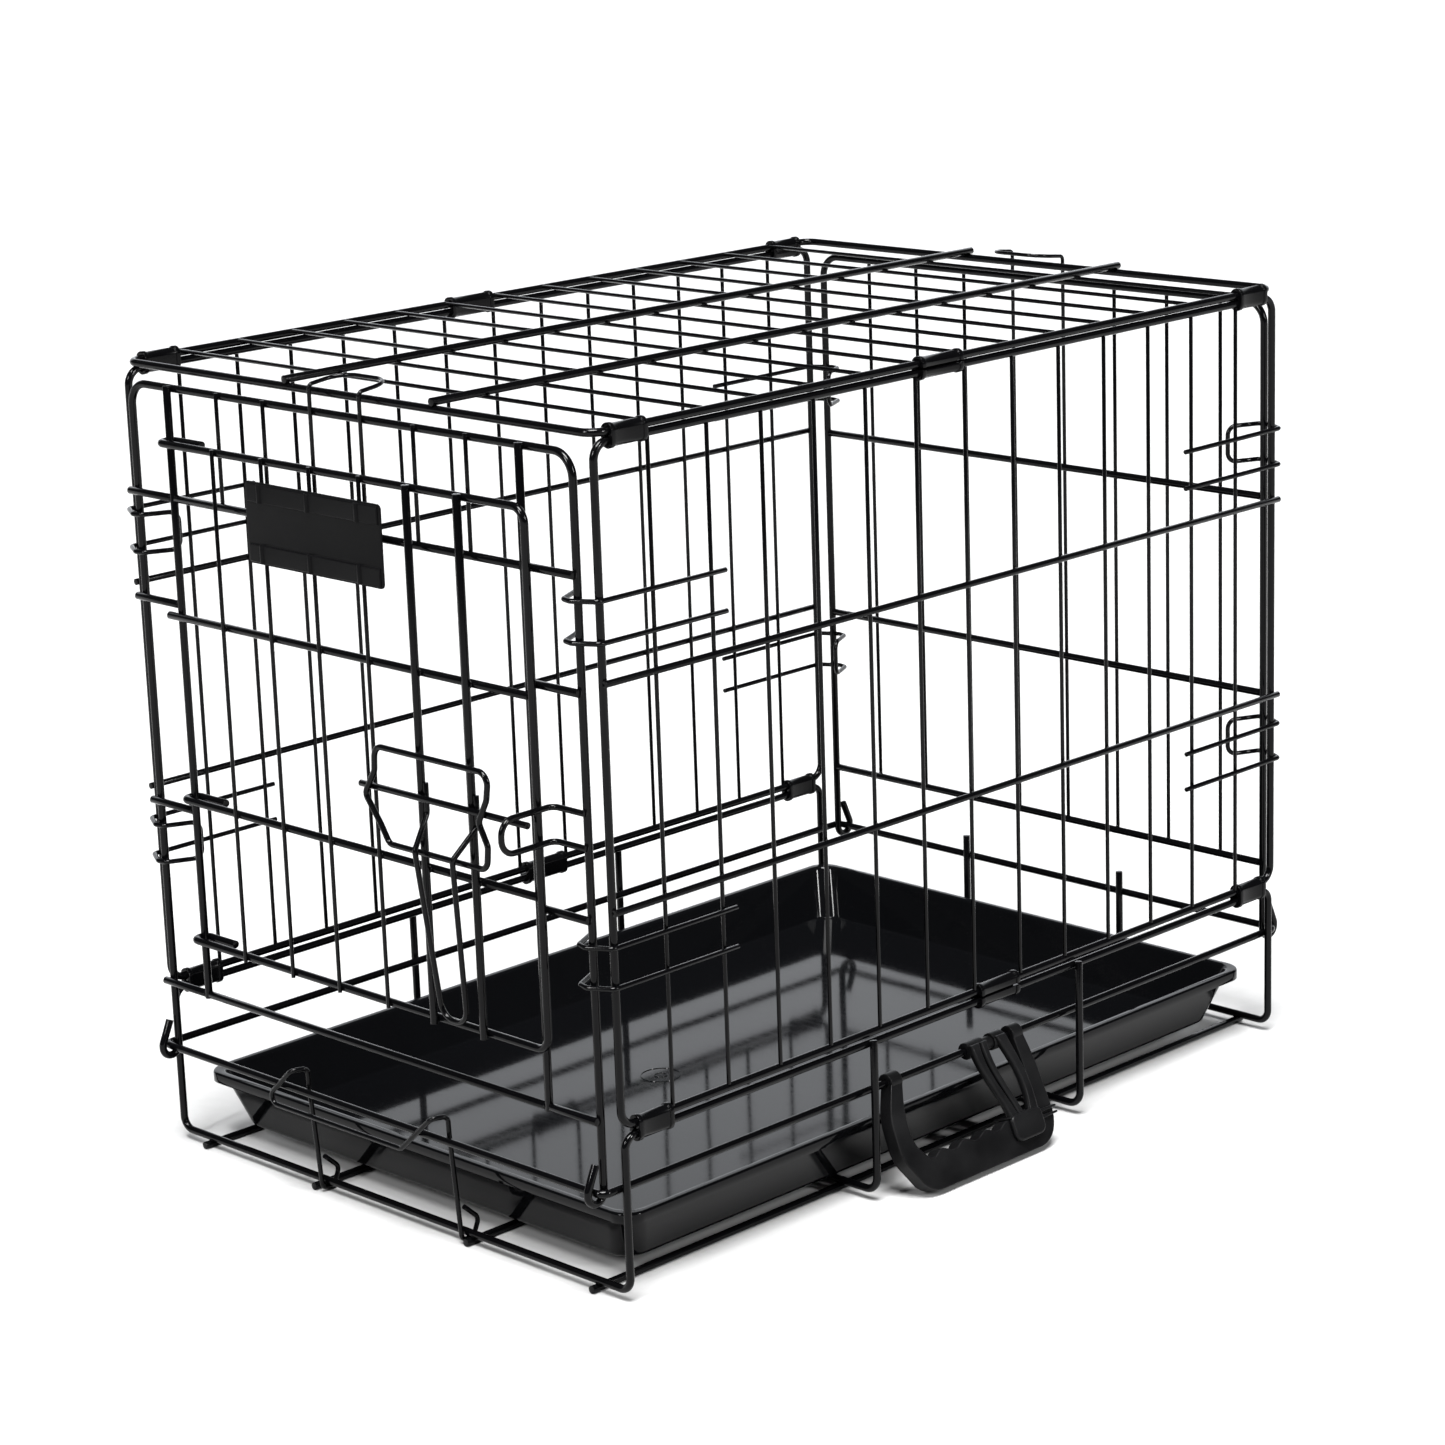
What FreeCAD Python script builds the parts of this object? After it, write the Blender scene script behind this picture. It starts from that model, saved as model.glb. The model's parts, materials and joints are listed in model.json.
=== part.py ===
import FreeCAD, Part
import math
import os

# Folding wire dog crate. X is across the crate (door at the front, -Y), Y along it, Z up.
# The ground plane is Z = 0, under the wires that run along the floor. Lengths are in millimetres.

os.makedirs("parts", exist_ok=True)
V = FreeCAD.Vector

# Wire radii
THICK = 2.4
RAIL = 2.0
THIN = 1.25
SPRING = 1.5
SINK = 0.3          # how far crossing wires are pressed into each other at a weld

# Overall frame
HALF_W = 205.0      # side panels, post centres
HALF_L = 300.0      # side and top panels, post centres
FLOOR_Z = 6.9       # base loop along the floor
BEAM_Z = FLOOR_Z - (2 * THICK - SINK)
RING_Z = 68.4       # ring the end panels pivot on
RING_X = HALF_W - (2 * THICK)
BASE_RAIL_Z = 100.3
SIDE_BOTTOM_Z = 106.8
SIDE_TOP_Z = 497.0
TOP_Z = 502.1
POST_Y = 298.0      # base corner posts

# End panels
END_Y = 305.9       # plane of the end panel frames
END_X = 194.5       # their posts
EYE = 6.2           # radius of the foot hooks round the ring
RING_Y = END_Y + EYE
END_TOP_Z = 491.5
OUT_THICK = END_Y + 2 * THICK - SINK
OUT_THIN = END_Y + THICK + THIN - SINK

# Door
HINGE_X = -153.5
STRIKE_X = 157.0
DOOR_R_X = 164.5
CURL = 5.1
DOOR_Y = OUT_THICK + CURL
DOOR_ZS = (459.5, 353.5, 237.5, 147.0)
DOOR_THIN_X = (-103.0, -57.5, -14.0, 30.0)
DOOR_THICK_X = (72.0, 115.0)
FRONT_THIN_X = (-108.0, -64.5, 68.5, 112.5)
FRONT_HOOK_X = (-20.9, 23.3)
FRONT_RAIL_Z = (425.3, 359.4, 229.4, 111.0)
REAR_RAIL_Z = (364.0, 231.7, 114.4)

# Bolt
BOLT_Z = 282.0
BOLT_Y = DOOR_Y + 2 * THICK - SINK + THICK + RAIL + 0.3
KEEPER_X = 171.0
KEEPER_R = 1.8
KEEPER_ZS = (271.0, 291.0)
BOLT_TIP_X = KEEPER_X - 4.8
PADDLE_R = 1.8
RETAINER_R = 1.65


nodes = {}


def put(name, shapes):
    """Keep one node, a solid or a group of separate solids."""
    shapes = shapes if isinstance(shapes, list) else [shapes]
    nodes[name] = shapes[0] if len(shapes) == 1 else Part.makeCompound(shapes)


def bar(a, b, r):
    """Straight wire from a to b."""
    a = V(*a)
    b = V(*b)
    return Part.makeCylinder(r, (b - a).Length, a, b - a)


def rounded(points, bends, closed=False):
    """Path through points with an arc of the given radius at each corner."""
    pts = [V(*p) for p in points]
    n = len(pts)
    if not isinstance(bends, (list, tuple)):
        bends = [bends] * n
    corners = range(n) if closed else range(1, n - 1)
    cut = {}
    for i in corners:
        p = pts[i]
        u = (pts[i - 1] - p).normalize()
        w = (pts[(i + 1) % n] - p).normalize()
        half = math.acos(max(-1.0, min(1.0, u.dot(w)))) / 2
        back = bends[i] / math.tan(half)
        mid = (u + w).normalize()
        centre = p + mid * (bends[i] / math.sin(half))
        cut[i] = (p + u * back, centre - mid * bends[i], p + w * back)
    edges = []
    if closed:
        start = cut[0][2]
        order = list(range(1, n)) + [0]
    else:
        start = pts[0]
        order = list(range(1, n - 1))
    for i in order:
        first, mid, last = cut[i]
        if (first - start).Length > 1e-6:
            edges.append(Part.makeLine(start, first))
        edges.append(Part.Arc(first, mid, last).toShape())
        start = last
    if not closed:
        edges.append(Part.makeLine(start, pts[-1]))
    return Part.Wire(edges)


def rod(points, r, bends, closed=False):
    """Bent round wire: a circle of radius r swept along a rounded path."""
    path = rounded(points, bends, closed)
    edge = path.Edges[0]
    start = edge.valueAt(edge.FirstParameter)
    tangent = edge.tangentAt(edge.FirstParameter)
    ring = Part.Wire([Part.makeCircle(r, start, tangent)])
    return path.makePipeShell([ring], True, False)


def mirror_x(shape):
    return shape.mirror(V(0, 0, 0), V(1, 0, 0))


def mirror_y(shape):
    return shape.mirror(V(0, 0, 0), V(0, 1, 0))


# ---------------------------------------------------------------- base
def base_perimeter():
    corners = []
    for x in (1, -1):
        for y, z in ((POST_Y, BASE_RAIL_Z), (-POST_Y, BASE_RAIL_Z), (-POST_Y, FLOOR_Z), (POST_Y, FLOOR_Z)):
            corners.append((x * HALF_W, y, z))
    r_top_back, r_top_front, r_low_front, r_low_back = corners[:4]
    l_top_back, l_top_front, l_low_front, l_low_back = corners[4:]
    loop = [r_top_back, r_top_front, r_low_front, l_low_front]
    loop += [l_top_front, l_top_back, l_low_back, r_low_back]
    return rod(loop, THICK, 8.0, closed=True)


def base_ring():
    loop = [(RING_X, 0, RING_Z), (RING_X, -RING_Y, RING_Z), (-RING_X, -RING_Y, RING_Z)]
    loop += [(-RING_X, RING_Y, RING_Z), (RING_X, RING_Y, RING_Z)]
    loop = [(x, y, z) for x, y, z in loop if y != 0]
    return rod(loop, THICK, 6.0, closed=True)


def base_hoops():
    """Their left ends stop low, so the left side panel can lean out over them."""
    right = HALF_W + 2 * THICK - SINK
    left = HALF_W + 2 * THICK - 0.7
    high = BASE_RAIL_Z + 2.5
    low = BASE_RAIL_Z - 1.4
    return [
        rod([(right, y, high), (right, y, FLOOR_Z), (-left, y, FLOOR_Z), (-left, y, low)], THICK, 9.0)
        for y in (-95.5, 95.5)
    ]


def floor_beams():
    end = POST_Y + 5.5
    return [bar((x, -end, BEAM_Z), (x, end, BEAM_Z), THICK) for x in (-178.0, 178.0)]


def rear_stops():
    """The two middle floor beams, turned up behind the tray."""
    stop_y = RING_Y - 2 * THICK + SINK
    return [
        rod([(x, -POST_Y - 5.5, BEAM_Z), (x, stop_y, BEAM_Z), (x, stop_y, 84.0)], THICK, 6.0)
        for x in (-70.0, 70.0)
    ]


put("base_perimeter", base_perimeter())
put("base_ring", base_ring())
put("base_hoops", base_hoops())
put("base_floor_beams", floor_beams())
put("base_rear_stops", rear_stops())


# ---------------------------------------------------------------- side panels
SIDE_RAIL_X = HALF_W + THICK + RAIL - SINK
SIDE_THIN_X = SIDE_RAIL_X - (RAIL + THIN - SINK)
PITCH = 43.0
SIDE_YS = [-260.5] + [PITCH * k for k in range(-5, 6)] + [260.5]


def side_frame():
    loop = [(HALF_W, -HALF_L, SIDE_BOTTOM_Z), (HALF_W, -HALF_L, SIDE_TOP_Z)]
    loop += [(HALF_W, HALF_L, SIDE_TOP_Z), (HALF_W, HALF_L, SIDE_BOTTOM_Z)]
    return rod(loop, THICK, 10.0, closed=True)


def side_rails():
    end = HALF_L + THICK
    return [bar((SIDE_RAIL_X, -end, z), (SIDE_RAIL_X, end, z), RAIL) for z in (364.7, 234.0)]


def side_verticals():
    low = SIDE_BOTTOM_Z + THICK - SINK
    high = SIDE_TOP_Z - THICK + SINK
    return [bar((SIDE_THIN_X, y, low), (SIDE_THIN_X, y, high), THIN) for y in SIDE_YS]


def side_hook(z, sign):
    """Spring hook: two arms outside the panel, round the end panel's post and joined inside it."""
    far = END_Y + THICK + SPRING + 0.5
    out = SIDE_THIN_X + THIN + SPRING - SINK
    gap = 23.5

    def arm(z):
        return [
            (out, -206.0, z),
            (out, -(HALF_L + THICK + 1.5), z),
            (END_X - 0.5, -(far + 1.5), z),
            (END_X - 7.0, -far, z),
            (END_X - 17.0, -290.0, z),
        ]

    path = arm(z) + arm(z - gap)[::-1]
    bends = [0, 4.0, 3.0, 3.0, 6.0, 6.0, 3.0, 3.0, 4.0, 0]
    hook = rod(path, SPRING, bends)
    return hook if sign < 0 else mirror_y(hook)


def side_hooks():
    return [side_hook(z, sign) for z in (411.0, 213.8) for sign in (-1, 1)]


for side, place in (("right", lambda s: s), ("left", mirror_x)):
    put("side_%s_frame" % side, place(side_frame()))
    put("side_%s_rails" % side, [place(s) for s in side_rails()])
    put("side_%s_verticals" % side, [place(s) for s in side_verticals()])
    put("side_%s_hooks" % side, [place(s) for s in side_hooks()])


# ---------------------------------------------------------------- hinge sleeves
def sleeve(x, y0, y1, z_held, z_turning, seam=0.0):
    """Rolled sleeve round two stacked wires: snug on the held wire, free on the turning one.
    With a seam the sleeve is an open clip, and its lips stand out on the outer side."""
    wall = 1.5
    z0, z1 = sorted((z_held, z_turning))
    r = THICK + 0.05 + wall
    length = y1 - y0

    def stadium(radius):
        a = Part.makeCylinder(radius, length, V(x, y0, z0), V(0, 1, 0))
        b = Part.makeCylinder(radius, length, V(x, y0, z1), V(0, 1, 0))
        m = Part.makeBox(2 * radius, length, z1 - z0, V(x - radius, y0, z0))
        return a.fuse([b, m]).removeSplitter()

    body = stadium(r)
    for y in (y0, y1 - 3.0):
        collar_a = Part.makeCylinder(r + 0.7, 3.0, V(x, y, z0), V(0, 1, 0))
        collar_b = Part.makeCylinder(r + 0.7, 3.0, V(x, y, z1), V(0, 1, 0))
        collar_m = Part.makeBox(2 * r + 1.4, 3.0, z1 - z0, V(x - r - 0.7, y, z0))
        body = body.fuse([collar_a, collar_b, collar_m])
    body = body.removeSplitter()
    held = Part.makeCylinder(THICK - 0.02, length + 2, V(x, y0 - 1, z_held), V(0, 1, 0))
    free = Part.makeCylinder(THICK + 0.1, length + 2, V(x, y0 - 1, z_turning), V(0, 1, 0))
    slot = Part.makeBox(THICK, length + 2, z1 - z0, V(x - THICK / 2, y0 - 1, z0))
    body = body.cut(held.fuse([free, slot]))
    if seam:
        sign = 1 if x > 0 else -1
        cut = Part.makeBox(8.0, length + 2, seam, V(x if sign > 0 else x - 8.0, y0 - 1, (z0 + z1) / 2 - seam / 2))
        body = body.cut(cut)
    return body


def seam_clip(x, y0, y1, z_held, z_turning):
    return sleeve(x, y0, y1, z_held, z_turning, seam=1.6)


TUBE_YS = ((-289.5, -262.5), (262.5, 289.5))
for side, x in (("right", HALF_W), ("left", -HALF_W)):
    tubes = [sleeve(x, a, b, SIDE_BOTTOM_Z, BASE_RAIL_Z) for a, b in TUBE_YS]
    put("side_%s_hinge_tubes" % side, tubes)
    put("side_%s_hinge_clip" % side, seam_clip(x, 3.0, 39.0, SIDE_BOTTOM_Z, BASE_RAIL_Z))
top_tubes = [sleeve(x, a, b, TOP_Z, SIDE_TOP_Z) for x in (-HALF_W, HALF_W) for a, b in TUBE_YS]
put("top_hinge_tubes", top_tubes)
put("top_hinge_clips", [seam_clip(x, -39.5, -3.5, TOP_Z, SIDE_TOP_Z) for x in (-HALF_W, HALF_W)])


# ---------------------------------------------------------------- top panel
LONG_Z = TOP_Z + 2 * THICK - SINK
CROSS_Z = LONG_Z - (THICK + THIN - SINK)


def top_frame():
    loop = [(-HALF_W, -HALF_L, TOP_Z), (-HALF_W, HALF_L, TOP_Z), (HALF_W, HALF_L, TOP_Z), (HALF_W, -HALF_L, TOP_Z)]
    return rod(loop, THICK, 10.0, closed=True)


put("top_frame", top_frame())
put("top_long_wires", [bar((x, -302.4, LONG_Z), (x, 302.4, LONG_Z), THICK) for x in (-51.7, 77.2)])
edge = HALF_W - THICK + SINK
put("top_cross_wires", [bar((-edge, y, CROSS_Z), (edge, y, CROSS_Z), THIN) for y in SIDE_YS])


# ---------------------------------------------------------------- end panels
def end_frame():
    """One wire: up one post, over the top and down the other, with a hook under the ring at each foot."""
    low = RING_Z - EYE
    tip = (RING_Y - 0.5, RING_Z + 17.0)
    bulge = RING_Y + EYE
    path = [
        (-END_X, -tip[0], tip[1]),
        (-END_X, -bulge, RING_Z + 2.0),
        (-END_X, -bulge, low),
        (-END_X, -END_Y, low),
        (-END_X, -END_Y, END_TOP_Z),
        (END_X, -END_Y, END_TOP_Z),
        (END_X, -END_Y, low),
        (END_X, -bulge, low),
        (END_X, -bulge, RING_Z + 2.0),
        (END_X, -tip[0], tip[1]),
    ]
    round_eye = EYE - 0.01
    bends = [0, 4.0, round_eye, round_eye, 14.0, 14.0, round_eye, round_eye, 4.0, 0]
    return rod(path, THICK, bends)


def top_hook(x0, x1, low):
    """Two verticals of one wire that rise past the top edge and turn back over the roof."""
    y = -OUT_THIN
    high = TOP_Z + THICK + THIN + 2.0
    back = -(END_Y - 22.0)
    path = [(x0, y, low), (x0, y, high), (x0, back, high + 3.0), (x1, back, high + 3.0), (x1, y, high), (x1, y, low)]
    return rod(path, THIN, [0, 3.0, 14.0, 14.0, 3.0, 0])


def end_rail(x0, x1, z):
    return bar((x0, -OUT_THICK, z), (x1, -OUT_THICK, z), THICK)


put("front_frame", end_frame())
h1, h2, h3, h5 = FRONT_RAIL_Z
post_face = THICK - SINK
ends = END_X + THICK
hinge_l = HINGE_X - post_face
hinge_r = HINGE_X + post_face
strike_l = STRIKE_X - post_face
strike_r = STRIKE_X + post_face
rails = [end_rail(-ends, hinge_l, z) for z in FRONT_RAIL_Z]
rails += [end_rail(hinge_r, strike_l, z) for z in (h1, h5)]
rails += [end_rail(strike_r, ends, z) for z in FRONT_RAIL_Z]
put("front_rails", rails)
post_low = h5 - THICK
post_high = END_TOP_Z + THICK
put("door_hinge_post", bar((HINGE_X, -OUT_THICK, post_low), (HINGE_X, -OUT_THICK, post_high), THICK))
put("door_strike_post", bar((STRIKE_X, -OUT_THICK, post_low), (STRIKE_X, -OUT_THICK, post_high), THICK))
thin_low = h1 + THICK - SINK
put("front_verticals", [bar((x, -OUT_THIN, thin_low), (x, -OUT_THIN, post_high), THIN) for x in FRONT_THIN_X])
put("front_top_hook", top_hook(FRONT_HOOK_X[0], FRONT_HOOK_X[1], thin_low))

keeper_y = -(END_Y + THICK + KEEPER_R - SINK)
keeper_low, keeper_high = KEEPER_ZS
keeper = [
    (END_X + THICK, keeper_y, keeper_high),
    (KEEPER_X, keeper_y, keeper_high),
    (KEEPER_X, -349.0, keeper_high),
    (KEEPER_X, -349.0, keeper_low),
    (KEEPER_X, keeper_y, keeper_low),
    (END_X + THICK, keeper_y, keeper_low),
]
put("bolt_keeper", rod(keeper, KEEPER_R, [0, 5.0, 9.0, 9.0, 5.0, 0]))

put("rear_frame", mirror_y(end_frame()))
inside_post = END_X - THICK + SINK
put("rear_rails", [bar((-inside_post, END_Y, z), (inside_post, END_Y, z), THICK) for z in REAR_RAIL_Z])
rear_xs = [HINGE_X + 44.3 * k for k in range(8)]
rear_low = REAR_RAIL_Z[-1] - THICK
rear_thin = [bar((x, OUT_THIN, rear_low), (x, OUT_THIN, post_high), THIN) for x in rear_xs[:3] + rear_xs[5:]]
put("rear_verticals", rear_thin)
put("rear_top_hook", mirror_y(top_hook(rear_xs[3], rear_xs[4], rear_low)))


# ---------------------------------------------------------------- door
def door_frame():
    """One wire: top rail, free upright and bottom rail, each rail ending in a curl round the hinge post."""
    back = -(OUT_THICK - CURL)
    left = HINGE_X - CURL
    tail = HINGE_X + 24.0
    top = DOOR_ZS[0]
    low = DOOR_ZS[3]
    path = [
        (tail, back, top),
        (left, back, top),
        (left, -DOOR_Y, top),
        (DOOR_R_X, -DOOR_Y, top),
        (DOOR_R_X, -DOOR_Y, low),
        (left, -DOOR_Y, low),
        (left, back, low),
        (tail, back, low),
    ]
    curl = CURL - 0.01
    return rod(path, THICK, [0, curl, curl, 9.0, 9.0, curl, curl, 0])


def curled_rail(z):
    """Door rail whose hinge end curls round the post."""
    back = -(OUT_THICK - CURL)
    left = HINGE_X - CURL
    end = DOOR_R_X - THICK + SINK
    curl = CURL - 0.01
    path = [(HINGE_X + 24.0, back, z), (left, back, z), (left, -DOOR_Y, z), (end, -DOOR_Y, z)]
    return rod(path, THICK, [0, curl, curl, 0])


door_right = DOOR_R_X - THICK + SINK
door_low = DOOR_ZS[3] - THICK
door_high = DOOR_ZS[0] + THICK
door_thin_y = -(DOOR_Y + THICK + THIN - SINK)
door_thick_y = -(DOOR_Y + 2 * THICK - SINK)
put("door_frame", door_frame())
put("door_rails", [bar((HINGE_X - 5.5, -DOOR_Y, DOOR_ZS[1]), (door_right, -DOOR_Y, DOOR_ZS[1]), THICK), curled_rail(DOOR_ZS[2])])
put("door_thin_verticals", [bar((x, door_thin_y, door_low), (x, door_thin_y, door_high), THIN) for x in DOOR_THIN_X])
put("door_thick_verticals", [bar((x, door_thick_y, door_low), (x, door_thick_y, door_high), THICK) for x in DOOR_THICK_X])


def retainer():
    """Hairpin welded beside the two thick uprights. It bows out over the bolt paddle's lower edge."""
    beside = THICK + RETAINER_R - SINK

    def leg(x, low_x):
        return [
            (x, door_thick_y, 290.0),
            (x, door_thick_y, 272.0),
            ((x + low_x) / 2, -(BOLT_Y + 10.0), 254.0),
            (low_x, -(BOLT_Y - 0.5), 152.0),
        ]

    left = leg(DOOR_THICK_X[0] + beside, 85.0)
    right = leg(DOOR_THICK_X[1] + beside, 106.0)
    return rod(left + right[::-1], RETAINER_R, [0, 5.0, 5.0, 10.0, 10.0, 5.0, 5.0, 0])


put("bolt_retainer", retainer())


def name_plate():
    """Blank sheet plate held on three door uprights by a pressed strip along its top and bottom."""
    x0 = -71.0
    x1 = 50.0
    z0 = 399.0
    z1 = 448.0
    back = door_thin_y - THIN + 0.2
    sheet = Part.makeBox(x1 - x0, 1.0, z1 - z0, V(x0, back - 1.0, z0))
    sheet = sheet.makeFillet(3.0, [e for e in sheet.Edges if abs(e.tangentAt(0).y) > 0.9])
    for z in (z0 + 1.0, z1 - 12.0):
        strip = Part.makeBox(x1 - x0 - 4.0, 1.1, 11.0, V(x0 + 2.0, back - 2.0, z))
        strip = strip.makeFillet(0.9, [e for e in strip.Edges if e.CenterOfMass.y < back - 1.9])
        sheet = sheet.fuse(strip)
        for x in DOOR_THIN_X[1:]:
            crimp = Part.makeCylinder(2.2, 11.0, V(x, back - 0.9, z), V(0, 0, 1))
            half = Part.makeBox(6.0, 4.0, 12.0, V(x - 3.0, back - 4.5, z - 0.5))
            sheet = sheet.fuse(crimp.common(half))
    return sheet.removeSplitter()


put("name_plate", name_plate())

put("latch_bolt", bar((24.0, -BOLT_Y, BOLT_Z), (BOLT_TIP_X, -BOLT_Y, BOLT_Z), RAIL))


def paddle():
    """Closed wire loop welded to the front of the bolt, waisted where it crosses it."""
    y = -(BOLT_Y + RAIL + PADDLE_R - SINK)
    path = [
        (42.0, y, 308.0),
        (139.0, y, 308.0),
        (136.5, y, 292.0),
        (129.0, y, BOLT_Z - 4.0),
        (136.0, y, 265.0),
        (134.5, y, 251.0),
        (51.0, y, 251.0),
        (44.0, y, 262.0),
        (31.5, y, BOLT_Z - 4.0),
        (41.0, y, 293.0),
    ]
    return rod(path, PADDLE_R, [7.0, 7.0, 6.0, 5.0, 6.0, 6.0, 5.0, 6.0, 5.0, 6.0], closed=True)


put("latch_paddle", paddle())


# ---------------------------------------------------------------- tray
def rounded_rect(half_x, half_y, r, z):
    loop = [(half_x, half_y, z), (-half_x, half_y, z), (-half_x, -half_y, z), (half_x, -half_y, z)]
    return rounded(loop, r, closed=True)


def tray():
    """Shallow moulded pan: flat floor, sloping walls and a flat rim turned down at its edge."""
    floor_z = FLOOR_Z + THICK + 0.3
    rim_z = 46.0
    wall = 2.0
    outer = Part.makeLoft([rounded_rect(177, 273, 16, floor_z), rounded_rect(190.5, 284.5, 20, rim_z)], True)
    low = rounded_rect(177 - wall, 273 - wall, 14, floor_z + wall)
    high = rounded_rect(190.5 - wall, 284.5 - wall, 18, rim_z + 0.01)
    inner = Part.makeLoft([low, high], True)
    rim = Part.Face(rounded_rect(194, 288, 22, rim_z - wall)).extrude(V(0, 0, wall))
    lip = Part.Face(rounded_rect(194, 288, 22, rim_z - 6.5)).extrude(V(0, 0, 6.5))
    hollow = Part.Face(rounded_rect(192.4, 286.4, 20.4, rim_z - 7.5)).extrude(V(0, 0, 7.5 - wall))
    return outer.fuse([rim, lip.cut(hollow)]).cut(inner).removeSplitter()


put("tray", tray())


# ---------------------------------------------------------------- tray latch
def tray_latch():
    """Spring gate: an eye round the front floor wire, up behind the ring, over it and along its front."""
    floor_y = POST_Y
    left = -63.0
    right = 65.5
    behind = RING_Y - THICK - SPRING - 0.4
    front = RING_Y + THICK + SPRING + 2.0

    def eye(x):
        return [
            (x, -(floor_y + 1.5), 23.0),
            (x, -(floor_y - 9.5), 13.0),
            (x, -(floor_y - 5.0), 2.6),
            (x, -(floor_y + 4.3), 2.6),
            (x, -behind, 70.0),
        ]

    over = RING_Z + 14.0
    path = eye(left)
    path += [(left, -(behind + 0.5), over), (left - 4.0, -front, over)]
    path += [(left - 32.0, -front, 57.0), (33.0, -front, 57.0)]
    path += [(right - 4.0, -front, over), (right, -(behind + 0.5), over)]
    path += eye(right)[::-1]
    bends = [0, 5.0, 4.5, 3.8, 20.0, 3.5, 3.5, 5.0, 5.0, 3.5, 3.5, 20.0, 3.8, 4.5, 5.0, 0]
    return rod(path, SPRING, bends)


put("tray_latch", tray_latch())


# ---------------------------------------------------------------- carrying handle
TILT = math.radians(23.0)


def in_handle(shape):
    """From the handle's own plane (Y across, -Z down its length, X through it) to the crate's."""
    shape.rotate(V(0, 0, 0), V(0, 1, 0), -math.degrees(TILT))
    shape.translate(V(RING_X, 0, RING_Z))
    return shape


def handle():
    """Bow handle: two legs splayed from the eyes on the ring to a grip with four finger hollows."""
    thick = 9.0
    outside = [(-76, 0), (-84.5, 22), (-85, 46), (-70, 67), (38, 67), (48.5, 57), (47.5, 22), (45.5, 0)]
    inside = [(36, 0), (38.5, 22), (39, 51.5), (-66, 51.5), (-76, 42), (-75.5, 22), (-66.5, 0)]
    bends = [0.5, 12, 10, 10, 9, 9, 10, 0.5, 0.5, 10, 3, 6, 8, 12, 0.5]
    path = rounded([(-thick / 2, y, -down) for y, down in outside + inside], bends, closed=True)
    grip = Part.Face(path).extrude(V(thick, 0, 0))
    for k in range(4):
        finger = Part.makeCylinder(11.0, thick + 2, V(-thick / 2 - 1, -52.0 + 20.0 * k, -43.5), V(1, 0, 0))
        grip = grip.cut(finger)
    for y in (-76.0, 36.0):
        grip = grip.fuse(Part.makeCylinder(5.4, 9.5, V(0, y, 0), V(0, 1, 0)))
    return grip.cut(Part.makeCylinder(THICK + 0.1, 130.0, V(0, -80, 0), V(0, 1, 0))).removeSplitter()


def handle_clip():
    """Two-armed clip on the ring. Its cuff wraps the right end of the grip and a prong stands out beside it."""
    face = 5.0

    def plate(points, thick=3.0):
        corners = [V(face, y, -down) for y, down in points + points[:1]]
        return Part.Face(Part.makePolygon(corners)).extrude(V(thick, 0, 0))

    web = plate([(-4, -3), (29, -3), (29, 3), (21, 20), (36, 46), (36, 69.5), (9, 69.5), (9, 46), (0, 20), (-4, 3)])
    web = web.cut(plate([(5, 6), (14, 6), (25, 44), (19, 44)]))
    clip = Part.makeCylinder(5.2, 33.0, V(0, -4, 0), V(0, 1, 0))
    clip = clip.fuse(Part.makeBox(8.0, 33.0, 6.0, V(0, -4, -3)))
    cuff = Part.makeBox(15.4, 25.0, 20.5, V(-7.4, 9.0, -69.5))
    cuff = cuff.cut(Part.makeBox(9.9, 27.0, 17.0, V(-4.9, 8.0, -67.5)))
    prong = plate([(34, 47), (52, 49), (52, 51), (34, 52)], 2.0)
    clip = clip.fuse([web, cuff, prong])
    return clip.cut(Part.makeCylinder(THICK + 0.1, 40.0, V(0, -6, 0), V(0, 1, 0))).removeSplitter()


put("carry_handle", in_handle(handle()))
put("handle_clip", in_handle(handle_clip()))

# ---------------------------------------------------------------- frame of the whole crate
# The origin is under the middle of the crate's bounding box, at floor level.
box = Part.makeCompound(list(nodes.values())).optimalBoundingBox(False, False)
shift = V(-box.Center.x, -box.Center.y, -box.ZMin)
for name, shape in nodes.items():
    shape.translate(shift)
    shape.exportStep("parts/" + name + ".step")
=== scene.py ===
import json
import math

import bmesh
import bpy
from mathutils import Matrix, Vector


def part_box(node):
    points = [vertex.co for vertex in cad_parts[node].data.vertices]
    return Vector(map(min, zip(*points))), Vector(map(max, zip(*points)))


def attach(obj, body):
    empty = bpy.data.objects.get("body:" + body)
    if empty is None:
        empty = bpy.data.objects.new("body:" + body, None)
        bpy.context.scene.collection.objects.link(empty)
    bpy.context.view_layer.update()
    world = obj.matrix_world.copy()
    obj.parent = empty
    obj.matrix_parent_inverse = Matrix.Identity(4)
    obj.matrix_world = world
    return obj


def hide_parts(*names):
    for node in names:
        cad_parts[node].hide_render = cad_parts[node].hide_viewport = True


bl_info = {
    "name": "Folding wire dog crate",
    "version": (1, 0, 0),
    "blender": (4, 5, 0),
    "location": "View3D > Sidebar > Crate",
    "description": "Finishes, moulded parts and studio for a folding wire dog crate",
    "category": "Object",
}

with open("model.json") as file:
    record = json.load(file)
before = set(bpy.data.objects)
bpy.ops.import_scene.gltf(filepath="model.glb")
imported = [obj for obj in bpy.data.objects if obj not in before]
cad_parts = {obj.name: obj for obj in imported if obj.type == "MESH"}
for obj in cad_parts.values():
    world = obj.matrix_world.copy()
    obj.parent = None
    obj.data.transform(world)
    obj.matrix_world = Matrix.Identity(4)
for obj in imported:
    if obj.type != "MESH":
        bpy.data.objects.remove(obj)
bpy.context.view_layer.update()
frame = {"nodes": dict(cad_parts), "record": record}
MM = 0.001


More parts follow.
